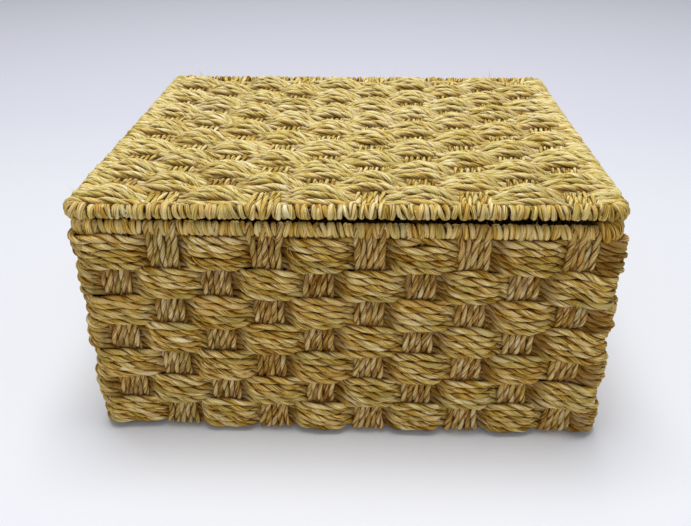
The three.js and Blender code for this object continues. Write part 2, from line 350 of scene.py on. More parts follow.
def cord_tones(cord, rng, drift, count):
    """How pale and how ruddy a cord is, ply by ply."""
    shade, hue = np.empty((2, count, SIDES))
    cord_shade = cord.shade + rng.normal(0, SHADE_SPREAD) * cord.mottle
    cord_hue = rng.normal(HUE_MIDDLE, HUE_SPREAD)
    for ply in (FIRST_PLY, ~FIRST_PLY) if cord.plied else (slice(None),):
        ply_shade = cord_shade + rng.normal(0, PLY_SHADE_SPREAD) * cord.mottle
        ply_shade = ply_shade + drift(SHADE.waves, SHADE.amount * cord.mottle)
        ply_hue = cord_hue + rng.normal(0, PLY_HUE_SPREAD)
        ply_hue = ply_hue + drift(HUE.waves, HUE.amount * cord.mottle)
        shade[:, ply] = ply_shade[:, None]
        hue[:, ply] = ply_hue[:, None]
    return shade, hue


def cord_rings(cord, rng, weave):
    """Rings of points round a twisted cord, with what the material reads at each point."""
    places, path, length = evenly(np.asarray(cord.path), cord.closed)
    drift = drifter(rng, places, length)
    source = np.linspace(0, 1, len(cord.path))
    at = np.linspace(0, 1, len(path))

    def spread(values):
        return np.interp(at, source, np.broadcast_to(values, len(source)))

    side = np.column_stack([spread(part) for part in np.broadcast_to(cord.side, (len(source), 3)).T])
    if cord.closed:
        along = unit(np.roll(path, -1, axis=0) - np.roll(path, 1, axis=0))
    else:
        along = unit(np.gradient(path, axis=0))
    across = unit(np.cross(along, side))
    side = np.cross(across, along)
    path = path + side * drift(WANDER_WAVES, weave.unevenness)[:, None]
    path = path + across * drift(WANDER_WAVES, weave.unevenness * WANDER_ACROSS)[:, None]
    radius = (spread(cord.radius) * (1 + drift(*GIRTH)))[:, None]
    turn = twisted(cord, rng, weave, places, length, drift)[:, None]
    local_x, local_y = ridged_section(cord, rng, drift)
    out_side = (local_x * np.cos(turn) - local_y * np.sin(turn)) * radius
    out_across = (local_x * np.sin(turn) + local_y * np.cos(turn)) * radius * cord.flat
    points = path[:, None] + out_side[..., None] * side[:, None] + out_across[..., None] * across[:, None]
    # Painted shade: darker on the flanks where cords touch, in the grooves between plies, and where the cord
    # dives behind another
    facing = np.abs(out_across) / (radius * cord.flat)
    crease = FLANK_SHADE * (1 - smooth(facing / (FLANK_REACH if cord.plied else WRAP_FLANK_REACH)))
    if cord.plied:
        crease = np.maximum(CREASE, crease)
    if cord.proud is not None:
        proud = spread(cord.proud)[:, None] * np.sign(out_across)
        crease = np.maximum(crease, cord.dive.shade * smooth(cord.dive.start - proud))
    lengthwise = places[:, None] + rng.uniform(0, FIBRE_START)
    fibre = np.stack(np.broadcast_arrays(lengthwise, local_x * radius, local_y * radius), axis=-1)
    shade, hue = cord_tones(cord, rng, drift, len(path))
    return CordRings(places, path, points, fibre, shade, hue, crease)


def hair_points(rng, base, outward, along, thicker):
    """Points of one loose fibre, a thin tube that lifts off the cord and bends back."""
    reach = rng.uniform(*HAIR_REACH)
    lift = outward * rng.uniform(*HAIR_LIFT)
    way = unit(lift + along * rng.choice((-1, 1)) + rng.normal(0, HAIR_STRAY, 3))
    bend = rng.normal(0, HAIR_BEND, 3) - outward * HAIR_DROOP
    t = np.linspace(0, 1, HAIR_POINTS)[:, None]
    line = base - outward * HAIR_SEAT + way * reach * t + bend * reach * t * t * HAIR_CURL
    first = unit(np.cross(way, outward + OFF_AXIS))
    second = np.cross(way, first)
    angles = 2 * math.pi * np.arange(HAIR_SIDES) / HAIR_SIDES
    spokes = np.cos(angles)[:, None] * first + np.sin(angles)[:, None] * second
    radius = rng.uniform(*HAIR_RADIUS) * thicker * (1 - HAIR_TAPER * t)
    line[:, Z] = np.maximum(line[:, Z], HAIR_LOW)
    return line[:, None] + radius[..., None] * spokes


def tube_faces(index):
    """Four-sided faces between rings of point numbers."""
    after = np.roll(index, -1, axis=1)
    return np.stack((index[:-1], after[:-1], after[1:], index[1:]), axis=-1).reshape(-1, 4)


def tube_places(around, along, wide, tall):
    """Where the corners of a tube's faces lie around it and along it."""
    around, along = np.broadcast_arrays(around, along)
    corners = ((0, 0), (wide, 0), (wide, tall), (0, tall))
    places = [np.stack((around + right, along + up), axis=-1) for right, up in corners]
    return np.stack(places, axis=2).reshape(-1, 4, 2)


def packed(parts):
    """Arrays joined into one flat row of numbers for Blender."""
    return np.concatenate([np.ravel(part) for part in parts]).astype(np.float32)


class CordMesh:
    """Gathers cords and their loose fibres into one mesh."""

    def __init__(self):
        self.count = 0
        self.points, self.fibre, self.shade, self.hue, self.crease = ([] for _ in range(5))
        self.tubes, self.caps, self.hairs = ([] for _ in range(3))

    def add_points(self, points, fibre, shade, hue, crease):
        """Keeps points with their material values and gives the number of the first."""
        first = self.count
        self.points.append(points.reshape(-1, 3))
        self.fibre.append(fibre.reshape(-1, 3))
        for kept, new in ((self.shade, shade), (self.hue, hue), (self.crease, crease)):
            kept.append(np.broadcast_to(new, points.shape[:-1]).ravel())
        self.count += len(self.points[-1])
        return first

    def add_cord(self, cord, rng, weave):
        """Adds a cord, its cut ends and its hairs."""
        rings = cord_rings(cord, rng, weave)
        first = self.add_points(rings.points, rings.fibre, rings.shade, rings.hue, rings.crease)
        index = first + np.arange(rings.shade.size).reshape(-1, SIDES)
        if cord.closed:
            index = np.vstack((index, index[:1]))
        self.tubes.append((index, rings.places[1] - rings.places[0]))
        if not cord.closed:
            for ring, order in ((0, -1), (-1, 1)):
                fibre = rings.fibre[ring].mean(axis=0)
                tones = (rings.shade[ring, :1], rings.hue[ring, :1], CAP_CREASE)
                centre = self.add_points(rings.path[ring][None], fibre, *tones)
                self.caps.append((centre, index[ring], order))
        if HAIRS:
            self.add_hairs(rng, weave, rings)

    def add_hairs(self, rng, weave, rings):
        """Adds the loose fibres of one cord, singly and in frayed tufts."""
        for _ in range(rng.poisson(weave.hairs_per_metre * (rings.places[-1] - rings.places[0]))):
            ring = rng.integers(1, len(rings.path) - 1)
            corner = rng.integers(SIDES)
            base = rings.points[ring, corner]
            outward = unit(base - rings.path[ring])
            along = unit(rings.path[ring + 1] - rings.path[ring - 1])
            frayed = rng.random() < weave.tuft_share
            for _ in range(rng.integers(*TUFT_HAIRS) if frayed else 1):
                hair = hair_points(rng, base, outward, along, TUFT_THICKER if frayed else 1)
                spot = np.broadcast_to(rings.fibre[ring, corner], hair.shape)
                first = self.add_points(hair, spot, rng.uniform(*HAIR_SHADE), rng.uniform(*HAIR_HUE), 0.0)
                numbers = first + np.arange(HAIR_POINTS * HAIR_SIDES)
                self.hairs.append(numbers.reshape(HAIR_POINTS, HAIR_SIDES))

    def cord_faces(self):
        """Four-sided faces of the cords, with their places in the map: a cord is cut into strips
        that lie one above the other. Two rows of the map are left for hairs and cut ends."""
        runs = [(len(index) - 1) * step for index, step in self.tubes]
        strip = max(runs) / max(round(max(runs) / math.sqrt(CORD_GIRTH * sum(runs))), 1)
        strips = [max(math.ceil(run / strip - STRIP_SLACK), 1) for run in runs]
        rows = sum(strips) + 2
        side = (1 - 2 * STRIP_MARGIN) / SIDES
        maps = []
        row = 0
        for (index, _), parts in zip(self.tubes, strips):
            ring = np.arange(len(index) - 1)[:, None]
            per_strip = math.ceil(len(ring) / parts)
            around = row + ring // per_strip + STRIP_MARGIN + side * np.arange(SIDES)
            places = tube_places(around, ring % per_strip / per_strip, side, 1 / per_strip)
            maps.append(places[..., ::-1] / (1, rows))
            row += parts
        return [tube_faces(index) for index, _ in self.tubes], maps, rows

    def hair_faces(self, rows):
        """Four-sided faces of the hairs, in the row of the map above the cords."""
        inner = 1 - 2 * HAIR_MARGIN
        wide, tall = inner / HAIR_SIDES, inner / (HAIR_POINTS - 1)
        around = HAIR_MARGIN + wide * np.arange(HAIR_SIDES)
        along = HAIR_MARGIN + tall * np.arange(HAIR_POINTS - 1)[:, None]
        places = tube_places(around, along, wide, tall)
        count = len(self.hairs)
        maps = [(places + (number, rows - 2)) / (count, rows) for number in range(count)]
        return [tube_faces(index) for index in self.hairs], maps

    def cap_faces(self, rows):
        """Three-sided faces of the cut ends of cords, in the map's top row."""
        faces, maps = [], []
        around = np.stack((np.cos(SECTION), np.sin(SECTION)), axis=1) * CAP_REACH
        for number, (centre, ring, order) in enumerate(self.caps):
            pair = (ring, np.roll(ring, -1))[::order]
            faces.append(np.stack((np.full(SIDES, centre), *pair), axis=1))
            spokes = (around, np.roll(around, -1, axis=0))[::order]
            spot = np.stack((np.zeros_like(around), *spokes), axis=1) + 0.5
            maps.append((spot + (number, rows - 1)) / (len(self.caps), rows))
        return faces, maps

    def make(self, name, material):
        """The mesh object, with smooth faces, material values and a map."""
        quads, quad_maps, rows = self.cord_faces()
        hair_quads, hair_maps = self.hair_faces(rows)
        triangles, triangle_maps = self.cap_faces(rows)
        quads = np.concatenate((*quads, *hair_quads))
        triangles = np.concatenate((np.empty((0, 3), int), *triangles))
        corners = np.concatenate((quads.ravel(), triangles.ravel())).astype(np.int32)
        starts = np.concatenate((np.arange(len(quads)) * 4, quads.size + np.arange(len(triangles)) * 3))
        mesh = bpy.data.meshes.new(name)
        mesh.vertices.add(self.count)
        mesh.vertices.foreach_set("co", packed(self.points))
        mesh.loops.add(len(corners))
        mesh.loops.foreach_set("vertex_index", corners)
        mesh.polygons.add(len(starts))
        mesh.polygons.foreach_set("loop_start", starts.astype(np.int32))
        mesh.update(calc_edges=True)
        mesh.shade_smooth()
        for title, values in (("shade", self.shade), ("hue", self.hue), ("crease", self.crease)):
            mesh.attributes.new(title, "FLOAT", "POINT").data.foreach_set("value", packed(values))
        mesh.attributes.new("fibre", "FLOAT_VECTOR", "POINT").data.foreach_set("vector", packed(self.fibre))
        places = mesh.uv_layers.new(name="OFBake")
        places.data.foreach_set("uv", packed((*quad_maps, *hair_maps, *triangle_maps)))
        mesh.materials.append(material)
        piece = bpy.data.objects.new(name, mesh)
        bpy.context.scene.collection.objects.link(piece)
        return piece


# Routes: how finely they are drawn, and stretches over which something fades in before an edge

ARC_POINTS = 16
HOOK_POINTS = 24
TURN_POINTS = 24
STAKE_STEP = 1 * MM
ROW_STEP = 1.5 * MM
END_PLAY = 0.5 * MM
Fade = namedtuple("Fade", "before over")
AT_FRONT = Fade(60 * MM, 200 * MM)
NEAR_RIM = Fade(7 * MM, 6 * MM)
TOP_FLOAT = Fade(22 * MM, 9 * MM)
AT_RIM = Fade(12 * MM, 10 * MM)
ON_BASE = Fade(14 * MM, 10 * MM)
LID_CLIMB = Fade(7.5 * MM, 7.5 * MM)
LID_EDGE = Fade(8 * MM, 8 * MM)
SAG_FROM = 0.6

# Rows

ROW_SHADE = 0.5
# Lid rows start paler than the walls' rows: partly the grass's own tone, partly painted light on the lid's
# top
LID_ROW_SHADE = 0.58
WALL_FLATNESS = 2.3
LID_FLATNESS = 0.5
WALL_MOTTLE = 1.25
LID_MOTTLE = 0.75
FLOAT_LIFT = 0.5 * MM
FLOAT_BULGE = 0.35 * MM
FLOAT_FULLNESS = (0.9, 1.1)
PINCH_POWER = 0.8
PINCH_STAGGER = 0.5 * MM
STRAND_STRAY = 0.3 * MM
TOP_ROW_DROP = 0.5
BOTTOM_ROW_DROP = 0.5
TOP_ROW_SPREAD = 1.07
TOP_RISE = 0.3
CORNER_BULGES = (6 * MM, 4.5 * MM, 4.5 * MM, 3.5 * MM)
TOP_BULGES = (-0.5 * MM, 0.8 * MM, 0.8 * MM, 3.5 * MM)
CORNER_REACH = 11 * MM

# Stakes and their loops over the wires

STAKE_SHADE = 0.48
# Lid stakes start paler than the box's stakes: partly the grass's own tone, partly painted light on the lid's
# top
LID_STAKE_SHADE = 0.54
STAKE_FLATNESS = 2.0
STAKE_TWIST = 0.85
LID_STAKE_TWIST = 1.35
LID_STAKE_SLIM = 0.74
LID_LOOP_FAT = 1.08
BASE_LIFT = 0.8 * MM
BASE_RISE = 1.7
BASE_BEND = 2.4 * MM
FOOT_EASE = 4 * MM
STAKE_START = 1 * MM
TURN_LOW = math.radians(-140)
LID_TURN_LOW = math.radians(-180)
LOOP_SEAT = 0.5
LOOP_SWELL = 0.6
LID_LOOP_SWELL = 0.9
LID_LOOP_AIM = math.radians(45)
LOOP_FAN = 1.1 * MM
TOP_PROUD = 0.8 * MM
TOP_SUNK = 1.4 * MM
# Painted shade on the cords that sink in under the rim's winding
SUNK_SHADE = 0.45

# Windings and lashings

WRAP_SHADE = 0.5
# Lid wraps start paler than the rim's: partly the grass's own tone, partly painted light on the lid's top
LID_WRAP_SHADE = 0.55
WRAP_MOTTLE = 1.8
CORNER_MOTTLE = 0.9
WRAP_TWIST = 3.0
WRAP_SEAT = 0.85
WRAP_REACH = (0.93, 1.14)
WRAP_WANDER = 0.6 * MM
WRAP_TILT = 1.2 * MM
CORNER_WRAP = 18 * MM
RIM_THICKER = 1.45
LID_THICKER = 1.18
LID_WRAPS = 0.96
LID_PITCH = 1.2
LASHING_TURNS = 3

Ring = namedtuple("Ring", "s point outward starts half_x half_y")
FloatForm = namedtuple("FloatForm", "spacing pinch depth dome flatness")


def ring_line(half_x, half_y, corner):
    """A rounded rectangle walked from the left end of its front, seen from above."""
    straight_x, straight_y = half_x - corner, half_y - corner
    points = [np.array([[-straight_x, -half_y]])]
    outward = [np.array([[0.0, -1.0]])]
    starts = [0]
    for number, (sign_x, sign_y) in enumerate(((1, -1), (1, 1), (-1, 1), (-1, -1))):
        angles = np.radians(90 * (number - 1)) + np.linspace(0, math.pi / 2, ARC_POINTS)
        away = np.stack((np.cos(angles), np.sin(angles)), axis=1)
        points.append(away * corner + (sign_x * straight_x, sign_y * straight_y))
        outward.append(away)
        starts.append(starts[-1] + ARC_POINTS)
    points, outward = np.concatenate(points), np.concatenate(outward)
    s = lengths_along(points)
    return Ring(s, points, outward, s[starts], straight_x, straight_y)


def on_ring(ring, places):
    """Points and outward directions at places along a ring."""
    places = np.mod(places, ring.s[-1])
    point = [np.interp(places, ring.s, part) for part in ring.point.T]
    outward = [np.interp(places, ring.s, part) for part in ring.outward.T]
    return np.column_stack(point), unit(np.column_stack(outward))


def stake_places(ring):
    """Where the stakes cross a ring: front, right, back and left, in the ring's order."""
    front, right, back, left = ring.starts[:4]
    return np.concatenate(
        (
            front + ring.half_x + LONG_X,
            right + ring.half_y + CROSS_Y,
            back + ring.half_x - LONG_X[::-1],
            left + ring.half_y - CROSS_Y[::-1],
        )
    )


WALL_RING = ring_line(RIM_X, RIM_Y, WALL_CORNER)
RIM_RING = ring_line(RIM_X, RIM_Y, RIM_CORNER)
LID_RING = ring_line(LID_X, LID_Y, LID_CORNER)
WALL_PLACES = stake_places(WALL_RING)


def over_or_under(number):
    """1 at even numbers, -1 at odd ones."""
    return 1 if number % 2 == 0 else -1


def strands(count):
    """Numbers of the cords of a bundle, with 0 in the middle."""
    return np.arange(count) - (count - 1) / 2


def fading(value, edge, fade):
    """0 until a value comes near an edge, then rising to 1."""
    return smooth((value - edge + fade.before) / fade.over)


def weave_wave(where, places, signs, length=None):
    """A wave that is 1 or -1 at each crossing, and a mixer that slides a value given at each
    crossing into the next."""
    places, signs = np.asarray(places), np.asarray(signs)
    if length is not None:
        places = np.concatenate(([places[-1] - length], places, [places[0] + length]))
        signs = np.concatenate((signs[-1:], signs, signs[:1]))
    before = np.clip(np.searchsorted(places, where, side="right") - 1, 0, len(places) - 2)
    part = np.clip((where - places[before]) / (places[before + 1] - places[before]), 0, 1)
    wave = signs[before] * np.cos(math.pi * part)
    share = (1 - np.cos(math.pi * part)) / 2

    def mixed(values):
        if length is not None:
            values = np.concatenate((values[-1:], values, values[:1]))
        return values[before] * (1 - share) + values[before + 1] * share

    return wave, mixed


def flattened(wave, flatness):
    """The wave with its crests pressed flat."""
    return np.tanh(flatness * wave) / math.tanh(flatness)


def at_front(path):
    """1 at the front edge of the lid or rim, falling to 0 behind the middle."""
    return fading(-path[:, Y], 0, AT_FRONT)


def leaning(path, weave):
    """The path of a lid cord, with the lid's front low on the left and high on the right, and its
    left front corner pulled out."""
    across = np.clip(path[:, X] / LID_X, -1, 1)
    front = at_front(path)
    path[:, Z] += weave.lid_lean * across * front
    path[:, X] += weave.lid_flare * np.minimum(across, 0) * front
    return path


def sagging(path, weave):
    """The path of a box cord, with the top of the front wall let down and its foot bowed out."""
    height = path[:, Z] / RIM_Z
    upper = smooth((height - SAG_FROM) / (1 - SAG_FROM))
    across = np.clip(1 - (path[:, X] / RIM_X) ** 2, 0, 1)
    path[:, Z] -= weave.rim_sag * across * upper * at_front(path)
    path[:, Y] -= weave.front_bow * across * (1 - smooth(height)) * smooth(-path[:, Y] / RIM_Y)
    return path


def bundle_row(weave, form, rng, wave, mixed, crossings):
    """Sideways and depth offsets of each cord of a woven row, whose floats have the given form."""
    lift = mixed(rng.normal(0, FLOAT_LIFT, crossings))
    bulge = mixed(rng.normal(0, FLOAT_BULGE, crossings))
    fullness = mixed(rng.uniform(*FLOAT_FULLNESS, crossings))
    crest = np.abs(wave)
    depth = flattened(wave, form.flatness) * (np.where(wave > 0, form.depth, weave.under_depth) + bulge)
    spacing = form.pinch + (form.spacing * fullness - form.pinch) * crest**PINCH_POWER
    rows = strands(weave.row_cords)
    for number, strand in enumerate(rows):
        sink = np.sign(wave) * crest * form.dome * (strand / rows[-1]) ** 2
        stagger = (1 - crest) * PINCH_STAGGER * over_or_under(number)
        aside, proud = (mixed(rng.normal(0, STRAND_STRAY, crossings)) for _ in range(2))
        yield (lift + aside) * crest + strand * spacing, depth - sink + stagger + proud


def corner_bulge(s, upper):
    """How far the rows stand out round each corner of the walls, falling to 0 at the stakes. The
    cords high in the top row stand out differently."""
    length = WALL_RING.s[-1]
    total = np.zeros_like(s)
    for end, bulge, top_bulge in zip(WALL_RING.starts[1:], CORNER_BULGES, TOP_BULGES):
        away = (s - end + WALL_CORNER * math.pi / 4 + length / 2) % length - length / 2
        total += (bulge + top_bulge * upper) * np.exp(-((away / CORNER_REACH) ** 2))
    return total


def wall_row(weave, row, rng):
    """Cords of one row that runs round the four walls."""
    length = WALL_RING.s[-1]
    s = np.arange(0, length, ROW_STEP)
    signs = [over_or_under(row + place) for place in range(len(WALL_PLACES))]
    wave, mixed = weave_wave(s, WALL_PLACES, signs, length)
    point, outward = on_ring(WALL_RING, s)
    top = row == len(ROW_Z) - 1
    drop = weave.row_drop * (TOP_ROW_DROP if top else BOTTOM_ROW_DROP if row == 0 else 1)
    spread = TOP_ROW_SPREAD if top else 1
    spacing, pinch = weave.float_spacing * spread, weave.pinch_spacing * spread
    form = FloatForm(spacing, pinch, weave.float_depth, weave.float_dome, WALL_FLATNESS)
    cords = []
    for number, (rise, depth) in enumerate(bundle_row(weave, form, rng, wave, mixed, len(signs))):
        upper = number / (weave.row_cords - 1) if top else 0
        bulge = corner_bulge(s, upper)
        height = ROW_Z[row] + rise - drop + TOP_RISE * upper * bulge
        path = sagging(np.column_stack((point + outward * (depth + bulge)[:, None], height)), weave)
        cords.append(Cord(path, UP, True, weave.cord_radius, ROW_SHADE, proud=wave, mottle=WALL_MOTTLE))
    return cords


def over_wire(place, height, radius, start, end, swell=0.0, aim=0.0):
    """An arc round a wire, in the plane across the wire: outward and up. It can swell one way."""
    angles = np.linspace(start, end, HOOK_POINTS)
    reach = radius + swell * np.clip(np.cos(angles - aim), 0, 1)
    return np.column_stack((place + reach * np.cos(angles), height + reach * np.sin(angles)))


def wall_side(weave, half, signs, base_end, looped, swell):
    """Half of a stake cord's line, as outward place, height and how proud it lies: down to the base
    from inside the rim and over its wire, or from under the winding of the rim."""
    radius = WIRE_RADIUS + weave.stake_radius * LOOP_SEAT
    rim = RIM_Z - weave.rim_drop
    bottom = base_end + BASE_BEND
    z = np.arange(rim - STAKE_START, bottom, -STAKE_STEP)
    wave, _ = weave_wave(z[::-1], ROW_Z, [-sign for sign in signs])
    wave = wave[::-1]
    give = weave.stake_give * flattened(wave, STAKE_FLATNESS)
    give = np.where(give < 0, give * smooth((z - bottom) / FOOT_EASE), give)
    near_rim = fading(z, rim, NEAR_RIM)
    at_top = fading(z, rim, TOP_FLOAT) * (signs[-1] < 0)
    if looped:
        out = give + TOP_PROUD * at_top
        out += (radius + swell - out) * near_rim
        proud = wave
    else:
        out = (give - TOP_SUNK * at_top) * (1 - near_rim)
        # The sunk cords near the top take painted shade through a lower proud
        proud = wave - SUNK_SHADE * at_top
    wall = np.column_stack((half + out, z, proud))
    foot = over_wire(half + give[-1] - BASE_BEND, bottom, BASE_BEND, 0, -math.pi / 2)
    foot = np.column_stack((foot, np.full(len(foot), wave[-1])))
    if looped:
        loop = over_wire(half, rim, radius, -TURN_LOW, 0, swell)
        wall = np.concatenate((np.column_stack((loop, np.ones(len(loop)))), wall))
    return np.concatenate((wall, foot))


def box_stake(weave, number, across, along_x, rng):
    """Cords of a stake that runs down one wall, across the base and up the far wall. Every other
    cord loops over the rim, and the ones between end under its winding."""
    places, half = (LONG_X, RIM_X) if along_x else (CROSS_Y, RIM_Y)
    base_low = weave.stake_radius + BASE_LIFT
    base_rise = BASE_RISE * weave.stake_radius
    signs = [over_or_under(number + other + along_x) for other in range(len(places))]
    u = np.arange(BASE_BEND - half, half - BASE_BEND, STAKE_STEP)
    wave, _ = weave_wave(u, places, signs)
    base = np.column_stack((u, base_low + base_rise * (1 + flattened(wave, STAKE_FLATNESS)) / 2, -wave))
    if along_x:
        near, far = len(WALL_PLACES) - 1 - number, len(LONG_X) + number
    else:
        near, far = number, len(WALL_PLACES) - len(CROSS_Y) - 1 - number
    rows = range(len(ROW_Z))
    near_signs, far_signs = ([over_or_under(row + place) for row in rows] for place in (near, far))
    near_swell = weave.stake_radius * LOOP_SWELL * (near_signs[-1] < 0)
    far_swell = weave.stake_radius * LOOP_SWELL * (along_x and far_signs[-1] < 0)
    cords = []
    for index, strand in enumerate(strands(weave.stake_cords)):
        looped = index % 2 == 0
        near_side = wall_side(weave, half, near_signs, base[0, 1], looped, near_swell)
        far_side = wall_side(weave, half, far_signs, base[-1, 1], looped, far_swell)
        line = np.concatenate((near_side * (-1, 1, 1), base[1:-1], far_side[::-1]))
        away, height, proud = line.T
        on_base = fading(-height, 0, ON_BASE)
        spacing = weave.stake_spacing + (weave.base_spacing - weave.stake_spacing) * on_base
        fan = np.where(away < 0, *rng.normal(0, LOOP_FAN, 2)) * fading(height, RIM_Z, AT_RIM)
        sideways = across + strand * spacing + fan
        path = np.column_stack((away, sideways, height) if along_x else (sideways, away, height))
        side = ALONG_Y if along_x else ALONG_X
        cord = Cord(sagging(path, weave), side, False, weave.stake_radius, STAKE_SHADE, STAKE_TWIST)
        cords.append(cord._replace(proud=-proud if along_x else proud, dive=STAKE_DIVE))
    return cords


def lid_row(weave, row, rng):
    """Cords of one row of the lid, looped over the side wires at both ends."""
    radius = WIRE_RADIUS + weave.cord_radius * LOOP_SEAT
    x = np.arange(-LID_X, LID_X + END_PLAY, ROW_STEP)
    signs = [over_or_under(row + column) for column in range(len(LONG_X))]
    wave, mixed = weave_wave(x, LONG_X, signs)
    outside = smooth((np.abs(x) - LONG_X[-1]) / (LID_X - LONG_X[-1]))
    end_spacing = LID_ROW_PITCH / weave.row_cords
    form = FloatForm(weave.lid_spacing, end_spacing, weave.lid_depth, weave.lid_dome, LID_FLATNESS)
    end = over_wire(LID_X, LID_Z, radius, math.pi / 2, LID_TURN_LOW)[1:]
    shown = wave + (1 - wave) * outside
    offsets = bundle_row(weave, form, rng, wave, mixed, len(signs))
    cords = []
    for strand, (rise, depth) in zip(strands(weave.row_cords), offsets):
        level = depth + (radius - depth) * outside
        shift = rise + (strand * end_spacing - rise) * outside
        line = np.column_stack((x, LID_Z + level))
        line = np.concatenate(((end * (-1, 1))[::-1], line, end))
        shift, proud = (np.pad(value, len(end), mode="edge") for value in (shift, shown))
        path = leaning(np.column_stack((line[:, 0], LID_ROW_Y[row] + shift, line[:, 1])), weave)
        cord = Cord(path, ALONG_Y, False, weave.cord_radius, LID_ROW_SHADE, proud=proud)
        cords.append(cord._replace(dive=LID_DIVE, mottle=LID_MOTTLE))
    return cords


def lid_stake(weave, column, rng):
    """Cords of one stake of the lid. Every other cord loops over the front and back wires, and
    the ones between end under their winding."""
    radius = WIRE_RADIUS + weave.stake_radius * LOOP_SEAT
    y = np.arange(-LID_Y, LID_Y + END_PLAY, ROW_STEP)
    signs = [-over_or_under(row + column) for row in range(len(LID_ROW_Y))]
    wave, _ = weave_wave(y, LID_ROW_Y, signs)
    level = weave.lid_give * flattened(wave, STAKE_FLATNESS)
    climb = fading(np.abs(y), LID_Y, LID_CLIMB)
    ends = []
    for swell in (weave.stake_radius * LID_LOOP_SWELL * (signs[0] > 0), 0):
        end = over_wire(LID_Y, LID_Z, radius, math.pi / 2, TURN_LOW, swell, LID_LOOP_AIM)
        ends.append(np.column_stack((end, np.ones(len(end)))))
    front, back = ends
    crest = np.where(y < 0, front[0, 1], back[0, 1]) - LID_Z
    cords = []
    for index, strand in enumerate(strands(weave.stake_cords)):
        line = np.column_stack((y, LID_Z + level, wave))
        if index % 2 == 0:
            line[:, 1] += (crest - level) * climb
            line = np.concatenate(((front * (-1, 1, 1))[:0:-1], line, back[1:]))
        along, height, proud = line.T
        at_edge = fading(np.abs(along), LID_Y, LID_EDGE)
        fan = np.where(along < 0, *rng.normal(0, LOOP_FAN, 2)) * at_edge
        sideways = LONG_X[column] + strand * weave.lid_stake_spacing + fan
        path = leaning(np.column_stack((sideways, along, height)), weave)
        fullness = LID_STAKE_SLIM + (LID_LOOP_FAT - LID_STAKE_SLIM) * at_edge
        cord = Cord(path, ALONG_X, False, weave.stake_radius * fullness, LID_STAKE_SHADE, LID_STAKE_TWIST)
        cords.append(cord._replace(proud=-proud, dive=LID_STAKE_DIVE))
    return cords


def winding(weave, ring, height, start, end, rng, thicker=1.0, pitch=1.0):
    """One strand wound unevenly round a wire from one place on its ring to another."""
    radius = weave.wrap_radius * thicker
    turns = max(round((end - start) / (weave.wrap_spacing * thicker * pitch)), 1)
    turn = np.linspace(0, turns, turns * TURN_POINTS)

    def by_turn(values):
        return np.interp(turn, np.arange(turns + 1), values)

    angle = TURN_LOW - 2 * math.pi * turn
    slant = by_turn(rng.normal(0, WRAP_TILT, turns + 1)) * np.sin(angle)
    s = start + (end - start) * turn / turns + slant + by_turn(rng.normal(0, WRAP_WANDER, turns + 1))
    point, outward = on_ring(ring, s)
    reach = WIRE_RADIUS * thicker + radius * weave.wrap_flatness * WRAP_SEAT
    reach = reach * by_turn(rng.uniform(*WRAP_REACH, turns + 1))
    flat = point + outward * (reach * np.cos(angle))[:, None]
    path = np.column_stack((flat, height + reach * np.sin(angle)))
    wire_way = np.column_stack((-outward[:, Y], outward[:, X], np.zeros(len(turn))))
    cord = Cord(path, wire_way, False, radius, WRAP_SHADE, WRAP_TWIST, weave.wrap_flatness)
    return cord._replace(plied=False, mottle=WRAP_MOTTLE)


def lashing_gaps(weave, ring):
    """Places on a ring where the winding of the back stops and starts again at the lashings."""
    half = LASHING_TURNS * weave.wrap_spacing / 2
    middle_back = ring.starts[2] + ring.half_x
    return [(middle_back - x - half, middle_back - x + half) for x in sorted(LASHING_X, reverse=True)]


def corner_wraps(weave, ring, height, corner_radius, rng, thicker):
    """Thicker turns over the winding at the four corners of a ring."""
    cords = []
    for end in ring.starts[1:]:
        middle_corner = end - corner_radius * math.pi / 4
        start, stop = middle_corner - CORNER_WRAP / 2, middle_corner + CORNER_WRAP / 2
        cord = winding(weave, ring, height, start, stop, rng, thicker)
        cords.append(cord._replace(mottle=CORNER_MOTTLE))
    return cords


def rim_windings(weave, back, rng):
    """Winding of the rim: the part between the lashings at the back, or all the rest."""
    (first, second), (third, fourth) = lashing_gaps(weave, RIM_RING)
    height = RIM_Z - weave.rim_drop
    start, end = (second, third) if back else (fourth, first + RIM_RING.s[-1])
    cords = [winding(weave, RIM_RING, height, start, end, rng)]
    if not back:
        cords += corner_wraps(weave, RIM_RING, height, RIM_CORNER, rng, RIM_THICKER)
    return [cord._replace(path=sagging(cord.path, weave)) for cord in cords]


def lid_windings(weave, back, rng):
    """Winding of the lid's front, back and corners; the rows loop over its sides."""
    (first, second), (third, fourth) = lashing_gaps(weave, LID_RING)
    side_rows = LID_ROW_Y[-1] + LID_ROW_PITCH / 2
    right, left = LID_RING.starts[1] + LID_RING.half_y, LID_RING.starts[3] + LID_RING.half_y
    front_start, front_end = left + side_rows - LID_RING.s[-1], right - side_rows
    if back:
        stretches = [(second, third)]
    else:
        stretches = [(front_start, front_end), (right + side_rows, first), (fourth, left - side_rows)]
    cords = [winding(weave, LID_RING, LID_Z, *ends, rng, LID_WRAPS, LID_PITCH) for ends in stretches]
    if not back:
        cords += corner_wraps(weave, LID_RING, LID_Z, LID_CORNER, rng, LID_THICKER)
    return [cord._replace(path=leaning(cord.path, weave), shade=LID_WRAP_SHADE) for cord in cords]


def lashing(weave, place):
    """A cord wound round the rim wire and the lid wire together."""
    reach = WIRE_RADIUS + weave.wrap_radius * WRAP_SEAT
    rim, lid = np.array((RIM_Y, RIM_Z)), np.array((LID_Y, LID_Z))
    lean = math.atan2(*(lid - rim)[::-1])
    over = over_wire(*lid, reach, lean + math.pi / 2, lean - math.pi / 2)
    under = over_wire(*rim, reach, lean - math.pi / 2, lean - 3 * math.pi / 2)
    line = np.concatenate([over, under] * LASHING_TURNS)
    width = LASHING_TURNS * weave.wrap_spacing
    s = lengths_along(line)
    path = np.column_stack((place - width / 2 + width * s / s[-1], line))
    return [Cord(path, ALONG_X, False, weave.wrap_radius, WRAP_SHADE)]


# Materials: noise along and across the fibres, per metre, and the range of it that shows

